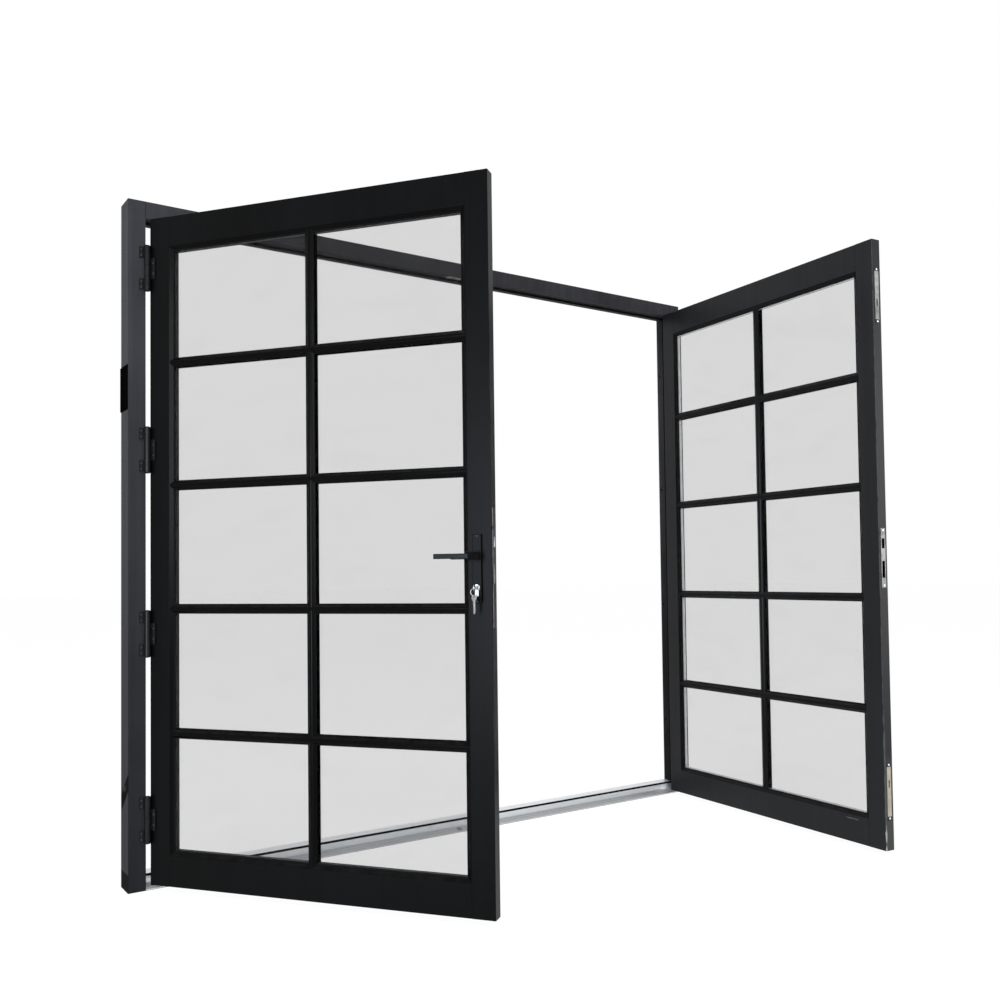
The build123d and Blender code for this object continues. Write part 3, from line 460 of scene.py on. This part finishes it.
def sillMarks(tree, coords, colour):
    # Threshold: painted shadow of the gap under it along the foot of its nose, and painted shade on the ramp, which
    # faces up, with grooves along it; the grooves are the crests of a cosine of the depth
    axes = axesOf(tree, coords)
    tread = band(tree, axes["Z"], sillWear["noseHeight"], sillWear["treadTop"], sillWear["treadFade"])
    # painted shade on the up-facing ramp
    colour = mixColour(tree, mathNode(tree, "MULTIPLY", tread, sillWear["treadShadeShare"]), colour, sillWear["tread"])
    turns = mathNode(tree, "DIVIDE", mathNode(tree, "ADD", axes["Y"], sillWear["grooveStart"]), sillWear["grooveStep"])
    wave = mathNode(tree, "COSINE", mathNode(tree, "MULTIPLY", turns, 2 * math.pi))
    groove = mathNode(tree, "MULTIPLY", rampValue(tree, wave, *sillWear["grooveSpan"]), tread)
    colour = mixColour(tree, mathNode(tree, "MULTIPLY", groove, sillWear["grooveShare"]), colour, sillWear["groove"])
    # painted shadow of the gap under the threshold, along the foot of the nose
    foot = rampValue(tree, axes["Z"], *sillWear["gapShadowSpan"])
    return mixColour(tree, mathNode(tree, "MULTIPLY", foot, sillWear["gapShadowShare"]), colour, sillWear["nose"])


plateAge = {"cream": (0.50, 0.42, 0.31), "share": 0.6, "below": 0.42, "tip": (0.012, 0.012, 0.013),
            "middles": (1.856, 0.209), "bright": 0.0815, "half": 0.0945, "fade": 0.05, "tipFade": 0.0006}


def plateMarks(tree, coords, colour):
    # The bolt plate near the floor has yellowed, and both bolt plates have black tips round their screws
    axes = axesOf(tree, coords)
    low = rampValue(tree, axes["Z"], plateAge["below"], plateAge["below"] - plateAge["fade"])
    colour = mixColour(tree, mathNode(tree, "MULTIPLY", low, plateAge["share"]), colour, plateAge["cream"])
    for middle in plateAge["middles"]:
        away = apart(tree, axes["Z"], middle)
        tip = band(tree, away, plateAge["bright"], plateAge["half"], plateAge["tipFade"])
        colour = mixColour(tree, tip, colour, plateAge["tip"])
    return colour


thresholdMetal = metalMaterial("millAluminium", metalLooks["threshold"], sillMarks)
plateMetal = metalMaterial("zincPlate", metalLooks["plate"], plateMarks)
# painted shade of the bolt slots, on the sliders
slotShadeMetal = metalMaterial("blackenedSteel", metalLooks["slider"])
screwMetal = metalMaterial("brightSteel", metalLooks["screw"])
keyMetal = metalMaterial("nickelKey", metalLooks["key"])
hingeScrewMetal = metalMaterial("darkSteel", metalLooks["hingeScrew"])
spacerMetal = metalMaterial("spacerAluminium", metalLooks["spacer"])
shadedSpacerMetal = metalMaterial("spacerShaded", metalLooks["shadedSpacer"])

plainLooks = {
    "hinge": {"deep": (0.004, 0.004, 0.0045), "pale": (0.010, 0.010, 0.011), "rough": 0.28, "pebble": 900.0,
              "specular": 0.16},
    "handle": {"deep": (0.005, 0.0065, 0.009), "pale": (0.011, 0.014, 0.019), "rough": 0.24, "pebble": 1100.0,
               "specular": 0.12},
    "rubber": {"deep": (0.004, 0.004, 0.004), "pale": (0.009, 0.009, 0.009), "rough": 0.62, "pebble": 420.0,
               "specular": 0.06},
    "packer": {"deep": (0.0015, 0.0015, 0.0015), "pale": (0.003, 0.003, 0.003), "rough": 0.8, "pebble": 500.0,
               "specular": 0.0},
}

plainSkin = {"broad": 14.0, "roughDrop": 0.06, "roughSpread": 0.12, "bump": 0.12, "pebbleDepth": 0.0001}


def plainMaterial(name, look, side=None, marks=None):
    material, tree, shader = newMaterial(name)
    coords = pieceCoords(tree, side)
    skin = useGroup(tree, coatGroup, Vector=coords, Pebble=look["pebble"], Broad=plainSkin["broad"])
    colour = mixColour(tree, skin["Mottle"], look["deep"], look["pale"])
    rough = mathNode(tree, "ADD", look["rough"] - plainSkin["roughDrop"],
                     mathNode(tree, "MULTIPLY", skin["Mottle"], plainSkin["roughSpread"]))
    if marks:
        colour, rough = marks(tree, coords, colour, rough)
    link(tree, colour, shader.inputs["Base Color"])
    link(tree, rough, shader.inputs["Roughness"])
    shader.inputs["Specular IOR Level"].default_value = look["specular"]
    addBump(tree, shader, skin["Height"], plainSkin["bump"], plainSkin["pebbleDepth"])
    return material


leverHubShade = {"tone": (0.0012, 0.0012, 0.0013), "middle": 1.0625, "half": 0.0105, "fade": 0.0006, "rough": 0.9}


def hubShadeMarks(tree, coords, colour, rough):
    # The block over the spindle gets painted shade, near black and rough; the grip beside it slate
    axes = axesOf(tree, coords)
    away = apart(tree, axes["X"], leverHubShade["middle"])
    mask = rampValue(tree, away, leverHubShade["half"] + leverHubShade["fade"], leverHubShade["half"])
    rough = mathNode(tree, "MAXIMUM", rough, mathNode(tree, "MULTIPLY", mask, leverHubShade["rough"]))
    return mixColour(tree, mask, colour, leverHubShade["tone"]), rough


hingePaint = plainMaterial("hingePaint", plainLooks["hinge"])
handlePaint = plainMaterial("handlePaint", plainLooks["handle"], "left", hubShadeMarks)
sealRubber = plainMaterial("sealRubber", plainLooks["rubber"])
packerPlastic = plainMaterial("packerPlastic", plainLooks["packer"])

glassLook = {"clear": (0.826, 0.826, 0.826), "hazy": (0.814, 0.814, 0.814), "ior": 1.1, "smear": 5.0,
             "stretch": (1.0, 1.0, 2.6), "tintSpan": (0.45, 0.8), "dullSpan": (0.55, 0.85), "dull": 0.03}


def glassMaterial():
    # Clear panes with faint wipe marks: the marks change the tint and the polish a little
    material, tree, shader = newMaterial("clearGlass")
    coords = pieceCoords(tree)
    smear = noise(tree, stretched(tree, coords, glassLook["stretch"]), glassLook["smear"], detail=4.0)
    hazy = rampValue(tree, smear, *glassLook["tintSpan"])
    link(tree, mixColour(tree, hazy, glassLook["clear"], glassLook["hazy"]), shader.inputs["Base Color"])
    dull = rampValue(tree, smear, *glassLook["dullSpan"])
    link(tree, mathNode(tree, "MULTIPLY", dull, glassLook["dull"]), shader.inputs["Roughness"])
    shader.inputs["Transmission Weight"].default_value = 1.0
    shader.inputs["IOR"].default_value = glassLook["ior"]
    return material


clearGlass = glassMaterial()


def finishNode(name):
    # The finish of a CAD node, from its name; the first rule that fits counts
    side = "left" if name.startswith("left_") else "right" if name.startswith("right_") else None
    if name.endswith("glass_panes"):
        return clearGlass
    if name.endswith("glass_spacer"):
        # the left spacer is a painted-shade copy of the right's silver one
        return shadedSpacerMetal if side == "left" else spacerMetal
    if name.endswith("hinges"):
        return hingePaint
    if name.endswith("corner_blocks") or name in ("frame_corner_cleats", "threshold"):
        return thresholdMetal
    if name.endswith("seal"):
        return sealRubber
    if name.endswith("lever"):
        return handlePaint
    if name.endswith("handle_plate"):
        return leftCoatShaded
    if name == "lock_faceplate":
        return faceplateCoat
    if name.endswith("hinge_screws") or name == "left_lock_screws":
        return hingeScrewMetal
    if name.endswith("slider"):
        return slotShadeMetal
    if name == "right_bottom_rail":
        return rightRailCoatLit
    if name.endswith("glazing_beads"):
        return leftTrimCoatShaded if side == "left" else rightTrimCoatLit
    if name == "left_jamb":
        return leftJambCoatLit
    if name in ("right_jamb", "head_profile"):
        return frameCoatLit
    if name == "jamb_packer":
        return packerPlastic
    if name == "right_meeting_stile":
        return rightEdgeCoatLit
    if name in ("door_key", "spare_key", "key_ring", "lock_cylinder", "cylinder_plug"):
        return keyMetal
    if "screws" in name or name == "hinge_pins":
        return screwMetal
    if side and name.split("_", 1)[1] in ("hinge_stile", "lock_stile", "bottom_rail", "top_rail",
                                          "outer_bars", "inner_bars"):
        return leftCoatShaded if side == "left" else rightCoatLit
    return plateMetal


for name, node in nodes.items():
    node.data.materials.clear()
    node.data.materials.append(finishNode(name))
print("finishes on", len(nodes), "nodes")


def carryRound(profile, xs, zs, y, side):
    # A profile carried round a rectangle with mitred corners: at each corner the inward offset
    # goes along both sides at once, and the profile's second number is the height off the plane
    signs = np.array([(1, 1), (-1, 1), (-1, -1), (1, -1)], float)
    corners = np.array([(xs[0], zs[0]), (xs[1], zs[0]), (xs[1], zs[1]), (xs[0], zs[1])], float)
    flat = corners[:, None, :] + signs[:, None, :] * profile[None, :, :1]
    rise = np.broadcast_to(y + profile[None, :, 1], flat.shape[:2])
    points = np.stack([flat[..., 0], rise, flat[..., 1]], axis=-1)
    return swung(points, side)


# A shut leaf, counted from the middle of the door: edges, depth of the panes and width of what hides their rims
leafShape = {"hingeEdge": 1.103, "width": 1.1, "foot": 0.017, "top": 2.045, "outerPane": -0.033, "innerPane": -0.013,
             "sideCover": 0.082, "railCover": 0.106}


def paneOpening(side):
    # The clear glass of a shut leaf: its two x and its two z
    sign = -1.0 if side == "left" else 1.0
    hingeSide = leafShape["hingeEdge"] - leafShape["sideCover"]
    freeSide = leafShape["hingeEdge"] - leafShape["width"] + leafShape["sideCover"]
    heights = (leafShape["foot"] + leafShape["railCover"], leafShape["top"] - leafShape["railCover"])
    return sorted((sign * hingeSide, sign * freeSide)), heights


def paneFace(outside):
    # The depth of a pane's outer face, and the way off it
    return (leafShape["outerPane"], -1.0) if outside else (leafShape["innerPane"], 1.0)


glazingGasket = {"width": 0.0034, "height": 0.0026, "steps": 9, "sink": 0.0002, "onFoot": 0.0028}


def gasketRing(name, side, outside):
    # A half-round rubber lip on the bead's foot, just over the glass: width across, height off the pane
    step = np.linspace(0.0, math.pi, glazingGasket["steps"])
    across = glazingGasket["width"] * (1.0 - np.cos(step)) / 2.0
    lift = glazingGasket["height"] * np.sin(step) - glazingGasket["sink"]
    face, way = paneFace(outside)
    profile = np.stack([across - glazingGasket["onFoot"], way * lift], axis=-1)
    points = carryRound(profile, *paneOpening(side), face, side)
    faces = gridFaces(*points.shape[:2], closeRows=True, closeColumns=True)
    return addPiece(name, points, faces, side + "_leaf", sealRubber)


for side in ("left", "right"):
    for label, outside in (("outer", True), ("inner", False)):
        gasketRing(f"{side}_{label}_gasket", side, outside)
print("glazing gaskets done")

glazingBar = {"halfBase": 0.0145, "halfCrest": 0.0055, "height": 0.008, "crown": 0.0013, "foot": 0.0005,
              "hollow": 1.35, "uprightDrop": 0.0008, "uprightShift": 0.002, "runIn": 0.0118, "rebate": 0.014,
              "rows": 5, "lift": 0.003, "steps": 9, "sharp": 30.0}


def barProfile(height):
    # Half across: a crowned crest (a parabola), then a hollow slope (a power curve) down to the glass
    crest = np.linspace(0.0, glazingBar["halfCrest"], glazingBar["steps"])
    top = height - glazingBar["crown"] * (crest / glazingBar["halfCrest"]) ** 2
    share = np.linspace(0.0, 1.0, glazingBar["steps"] + 1)[1:]
    slope = glazingBar["halfCrest"] + (glazingBar["halfBase"] - glazingBar["halfCrest"]) * share
    fall = glazingBar["foot"] + (top[-1] - glazingBar["foot"]) * (1.0 - share) ** glazingBar["hollow"]
    half = np.stack([np.r_[crest, slope, glazingBar["halfBase"]], np.r_[top, fall, 0.0]], axis=-1)
    return np.concatenate([half[:0:-1] * (-1, 1), half])


def glazingBars(name, side, outside, node):
    # Two sets of straight strips on the pane: each is the profile run from one bead to the other
    face, way = paneFace(outside)
    (left, right), (low, high) = paneOpening(side)
    rebate, runIn = glazingBar["rebate"], glazingBar["runIn"]
    pitch = (high - low + 2 * rebate + 2 * glazingBar["halfBase"]) / glazingBar["rows"]
    points, faces = [], []
    profile = barProfile(glazingBar["height"])
    x, y, across = np.broadcast_arrays(np.array([[left - runIn], [right + runIn]]), face + way * profile[:, 1],
                                       profile[:, 0])
    for row in range(1, glazingBar["rows"]):
        z = low - rebate + pitch * row - glazingBar["halfBase"] + glazingBar["lift"]
        points.append(np.stack([x, y, z + across], axis=-1))
    profile = barProfile(glazingBar["height"] - glazingBar["uprightDrop"])
    middle = (left + right) / 2 + math.copysign(glazingBar["uprightShift"], left + right)
    z, y, across = np.broadcast_arrays(np.array([[low - runIn], [high + runIn]]), face + way * profile[:, 1],
                                       profile[:, 0])
    points.append(np.stack([middle + across, y, z], axis=-1)[::-1])
    points = np.array(points)
    for strip in range(len(points)):
        quads = np.array(gridFaces(2, points.shape[2], closeColumns=True, start=strip * 2 * points.shape[2]))
        faces += (quads if outside else quads[:, ::-1]).tolist()
    coat = leftTrimCoatShaded if side == "left" else rightTrimCoatLit
    piece = addPiece(name, swung(points, side), faces, side + "_leaf", coat, glazingBar["sharp"])
    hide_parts(node)


for side in ("left", "right"):
    for label, outside in (("outer", True), ("inner", False)):
        glazingBars(f"{side}_{label}_crowned_bars", side, outside, f"{side}_{label}_bars")
print("glazing bars done")

keyShape = {"bow": 0.0087, "waist": 0.04, "lobes": 3, "hole": 0.0032, "holeReach": 0.0045, "thickness": 0.0022,
            "turns": 48, "softRim": 0.0004, "flatShare": 0.95, "blade": 0.0068, "bladeFrom": 0.7, "bladeSteps": 44,
            "tooth": 0.0017, "cutFrom": 0.022, "cutRise": 0.004, "cutMean": 0.55, "cutSwing": 0.45,
            "cutWaves": (2600.0, 710.0), "tipLength": 0.003, "tipDrop": 0.0018, "groove": 0.0005, "ridge": 0.0004,
            "sharp": 40.0}


def keyMesh(length):
    # Bow: a ring between the hole and a softly lobed outline. Blade: a strip whose lower edge is a row of cuts,
    # a rounded wave of the length. u runs along the key from the hole, v across it, w through it
    turn = np.linspace(0.0, 2 * math.pi, keyShape["turns"], endpoint=False)
    outline = keyShape["bow"] * (1.0 + keyShape["waist"] * np.cos(keyShape["lobes"] * turn))
    outer = np.stack([keyShape["holeReach"] + outline * np.cos(turn), outline * np.sin(turn)], axis=-1)
    inner = keyShape["hole"] * np.stack([np.cos(turn), np.sin(turn)], axis=-1)
    half = keyShape["thickness"] / 2
    rim = keyShape["holeReach"] * np.array([1.0, 0.0])
    shrunk = rim + (outer - rim) * keyShape["flatShare"]
    loops = [(inner, -half), (shrunk, -half), (outer, -half + keyShape["softRim"])]
    loops += [(flat, -w) for flat, w in reversed(loops)]
    bow = np.stack([np.concatenate([flat, np.full((len(flat), 1), w)], axis=1) for flat, w in loops], axis=1)
    u = np.linspace(keyShape["holeReach"] + keyShape["bow"] * keyShape["bladeFrom"], length, keyShape["bladeSteps"])
    run = np.clip((u - keyShape["cutFrom"]) / keyShape["cutRise"], 0.0, 1.0)
    run = run * np.clip((length - u) / keyShape["tipLength"], 0.0, 1.0)
    fast, slow = keyShape["cutWaves"]
    wave = keyShape["cutMean"] + keyShape["cutSwing"] * np.sin(u * fast) * np.cos(u * slow)
    cut = keyShape["tooth"] * run * wave
    tip = keyShape["tipDrop"] * np.clip((u - length + keyShape["tipLength"]) / keyShape["tipLength"], 0.0, 1.0)
    low, high = -keyShape["blade"] / 2 + cut + tip, keyShape["blade"] / 2 - tip
    inset = half - keyShape["groove"]
    middle = (low + high) / 2 + keyShape["ridge"]
    rows = [(low, -inset), (middle, -half), (high, -inset), (high, inset), (middle, half), (low, inset)]
    blade = np.stack([np.stack([u, v + 0.0 * u, np.full_like(u, w)], axis=-1) for v, w in rows], axis=1)
    faces = gridFaces(*bow.shape[:2], closeRows=True, closeColumns=True)
    start, sides = bow.shape[0] * bow.shape[1], len(rows)
    faces += gridFaces(*blade.shape[:2], closeColumns=True, start=start)
    last = start + (len(u) - 1) * sides
    faces += [[start + k for k in range(sides)][::-1], [last + k for k in range(sides)]]
    return np.concatenate([bow.reshape(-1, 3), blade.reshape(-1, 3)]), faces


keyPlaces = {"lockX": -0.043, "holeY": -0.075, "lockZ": 0.904, "spareZ": 0.8807, "twist": math.radians(62.0),
             "lockLength": 0.048, "spareLength": 0.047}


def placeKeys():
    # One key stands in the lock, the spare hangs turned from the ring below it
    points, faces = keyMesh(keyPlaces["lockLength"])
    inLock = np.stack([keyPlaces["lockX"] + points[:, 2], keyPlaces["holeY"] + points[:, 0],
                       keyPlaces["lockZ"] + points[:, 1]], axis=-1)
    key = addPiece("door_key_cut", swung(inLock, "left"), faces, "key", keyMetal, keyShape["sharp"])
    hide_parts("door_key")
    points, faces = keyMesh(keyPlaces["spareLength"])
    c, s = math.cos(keyPlaces["twist"]), math.sin(keyPlaces["twist"])
    hanging = np.stack([keyPlaces["lockX"] + points[:, 1] * s + points[:, 2] * c,
                        keyPlaces["holeY"] - points[:, 1] * c + points[:, 2] * s,
                        keyPlaces["spareZ"] - points[:, 0]], axis=-1)
    spare = addPiece("spare_key_cut", swung(hanging, "left"), faces, "key", keyMetal, keyShape["sharp"])
    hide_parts("spare_key")


placeKeys()
print("keys done")

hingeCap = {"radius": 0.0093, "height": 0.0042, "rings": 7, "turns": 28,
            "heights": (0.213, 0.772, 1.331, 1.890), "half": 0.0675, "sunk": 0.0008, "collar": 0.0006, "flat": 0.0002}


def hingeCaps():
    # Domed caps on the knuckles: radius by the cosine and height by the sine of one angle
    ring = np.linspace(0.0, math.pi / 2, hingeCap["rings"])
    turn = np.linspace(0.0, 2 * math.pi, hingeCap["turns"], endpoint=False)
    radius = np.concatenate([[hingeCap["radius"]], hingeCap["radius"] * np.cos(ring[:-1]), [hingeCap["flat"]]])
    lift = np.concatenate([[-hingeCap["sunk"]], hingeCap["collar"] + hingeCap["height"] * np.sin(ring[:-1]),
                           [hingeCap["collar"] + hingeCap["height"]]])
    x = radius[:, None] * np.cos(turn)
    y = radius[:, None] * np.sin(turn)
    z = np.broadcast_to(lift[:, None], x.shape)
    dome = np.stack([x, y, z], axis=-1)
    places = [(pinX, pinY, height + way * hingeCap["half"], way)
              for pinX, pinY, _ in leafHinge.values() for height in hingeCap["heights"] for way in (1, -1)]
    points, faces = [], []
    for px, py, pz, way in places:
        base = len(points) * dome.shape[0] * dome.shape[1]
        points.append(dome * (way, 1, way) + (px, py, pz))  # half a turn about y for the lower cap
        faces += gridFaces(*dome.shape[:2], closeColumns=True, start=base)
        faces.append([base + (dome.shape[0] - 1) * dome.shape[1] + k for k in range(dome.shape[1])][::-1])
    return addPiece("hinge_caps", np.array(points), faces, "frame", hingePaint)


hingeCaps()
print("hinge caps done")

studio = {"worldLight": 0.42, "floorTone": (0.80, 0.80, 0.80), "shadowTone": (0.16, 0.16, 0.16),
          "floorGlow": 0.925, "floorRough": 0.9, "floorHalf": 60.0, "white": (1.0, 1.0, 1.0, 1.0)}


def seenDirectly(tree):
    # 1 for rays from the camera, from gloss and through glass, 0 for rays that light the object
    rays = tree.nodes.new("ShaderNodeLightPath").outputs
    seen = mathNode(tree, "MAXIMUM", rays["Is Camera Ray"], rays["Is Glossy Ray"])
    return mathNode(tree, "MAXIMUM", seen, rays["Is Transmission Ray"])


def buildWorld():
    world = bpy.data.worlds.new("studioWorld")
    world.use_nodes = True
    tree = world.node_tree
    ground = tree.nodes["Background"]
    ground.inputs["Color"].default_value = studio["white"]
    span = mathNode(tree, "MULTIPLY", seenDirectly(tree), 1.0 - studio["worldLight"])
    link(tree, mathNode(tree, "ADD", span, studio["worldLight"]), ground.inputs["Strength"])
    scene.world = world


def buildFloor():
    material, tree, shader = newMaterial("paleFloor")
    seen = seenDirectly(tree)
    link(tree, mixColour(tree, seen, studio["floorTone"], studio["shadowTone"]), shader.inputs["Base Color"])
    shader.inputs["Roughness"].default_value = studio["floorRough"]
    shader.inputs["Specular IOR Level"].default_value = 0.0
    shader.inputs["Emission Color"].default_value = studio["white"]
    link(tree, mathNode(tree, "MULTIPLY", seen, studio["floorGlow"]), shader.inputs["Emission Strength"])
    half = studio["floorHalf"]
    mesh = bpy.data.meshes.new("floor")
    mesh.from_pydata([(-half, -half, 0), (half, -half, 0), (half, half, 0), (-half, half, 0)], [], [(0, 1, 2, 3)])
    mesh.materials.append(material)
    floor = bpy.data.objects.new("floor", mesh)
    scene.collection.objects.link(floor)


lamps = {
    "frontRight": {"at": (4.4, -4.2, 1.6), "to": (0.6, -0.6, 1.0), "size": 2.0, "tall": 2.8, "watts": 60.0,
                   "tint": (1.0, 1.0, 1.0)},
    "front": {"at": (-2.9, -6.4, 2.3), "to": (-0.9, 0.0, 1.0), "size": 1.1, "tall": 2.6, "watts": 105.0,
              "tint": (1.0, 1.0, 1.0)},
    "backLeft": {"at": (-5.0, 2.4, 2.6), "to": (0.6, -0.5, 1.0), "size": 2.6, "tall": 2.6, "watts": 10.0,
                 "tint": (1.0, 1.0, 1.0)},
    "frontLeft": {"at": (-4.55, -3.0, 0.85), "to": (-0.6, -0.7, 0.9), "size": 1.1, "tall": 2.4, "watts": 160.0,
                  "tint": (0.80, 0.90, 1.0)},
    "overhead": {"at": (-0.9, -0.8, 5.0), "to": (-0.6, -0.6, 0.0), "size": 1.3, "tall": 1.3, "watts": 70.0,
                 "tint": (1.0, 1.0, 1.0)},
}


def buildLamps():
    for name, lamp in lamps.items():
        light = bpy.data.lights.new(name, "AREA")
        light.energy = lamp["watts"]
        light.color = lamp["tint"]
        light.shape = "RECTANGLE"
        light.size, light.size_y = lamp["size"], lamp["tall"]
        holder = bpy.data.objects.new(name, light)
        holder.location = lamp["at"]
        aim = Vector(lamp["to"]) - Vector(lamp["at"])
        holder.rotation_euler = aim.to_track_quat("-Z", "Y").to_euler()
        holder.visible_transmission = False  # the lamp's own shape doesn't show through the panes
        scene.collection.objects.link(holder)


view = {"at": (-1.91362, -3.12824, 0.93851), "yaw": 34.416, "pitch": 1.873, "roll": 0.7059,
        "lens": 35.5077, "sensor": 36.0, "shift": (-0.00037, 0.04224)}


def buildCamera():
    # Yaw from +Y towards +X, then pitch up, then roll; the lens shift sets the horizon
    yaw, pitch, roll = (math.radians(view[key]) for key in ("yaw", "pitch", "roll"))
    forward = Vector((math.sin(yaw) * math.cos(pitch), math.cos(yaw) * math.cos(pitch), math.sin(pitch)))
    level = Vector((math.cos(yaw), -math.sin(yaw), 0.0))
    down = forward.cross(level)
    right = level * math.cos(roll) + down * math.sin(roll)
    under = down * math.cos(roll) - level * math.sin(roll)
    lens = bpy.data.cameras.new("photoCamera")
    lens.sensor_width = view["sensor"]
    lens.lens = view["lens"]
    lens.shift_x, lens.shift_y = view["shift"]
    camera = bpy.data.objects.new("photoCamera", lens)
    turn = Matrix((right, -under, -forward)).transposed().to_4x4()
    camera.matrix_world = Matrix.Translation(view["at"]) @ turn
    scene.collection.objects.link(camera)
    scene.camera = camera


buildWorld()
buildFloor()
buildLamps()
buildCamera()
print("studio ready")
